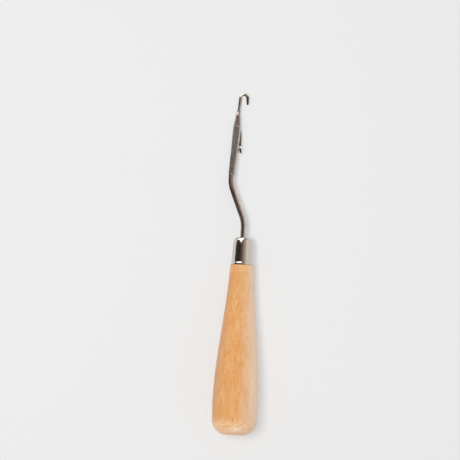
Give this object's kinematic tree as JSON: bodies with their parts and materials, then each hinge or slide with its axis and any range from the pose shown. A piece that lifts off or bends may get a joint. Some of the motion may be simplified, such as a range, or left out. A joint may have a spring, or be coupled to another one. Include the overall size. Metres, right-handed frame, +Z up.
{
  "type": "latch hook tool",
  "caption": "Rug maker's latch hook: a turned wooden handle and metal ferrule hold a cranked steel needle whose small hook is closed by a swinging latch.",
  "frame": {"origin": "On the surface the tool lies on, below the middle of its overall length and width", "axes": "+Y along the tool, from the butt of the handle to the hook; +X to the hook's open side, where the latch lies; +Z up, away from the surface. The handle's axis slopes down to the hook by 4.15 degrees, because the tool rests on its belly and its hook."},
  "size_m": [0.0214, 0.1596, 0.0222],
  "materials": {
    "handle_wood": "clear satin lacquer",
    "ferrule_metal": "bright plated",
    "needle_steel": "polished dark steel",
    "latch_steel": "polished dark steel",
    "rivet_steel": "polished steel"
  },
  "bodies": {
    "tool": {"handle": "handle_wood", "ferrule": "ferrule_metal", "needle": "needle_steel", "rivet": "rivet_steel"},
    "latch": {"latch": "latch_steel"}
  },
  "joints": [
    {"name": "latch_swing", "type": "hinge", "parent": "tool", "child": "latch", "pos_m": [-0.00511, 0.06378, 0.00182], "axis": [0, 0.0724, 0.9974], "range_deg": [0, 149.5]}
  ]
}
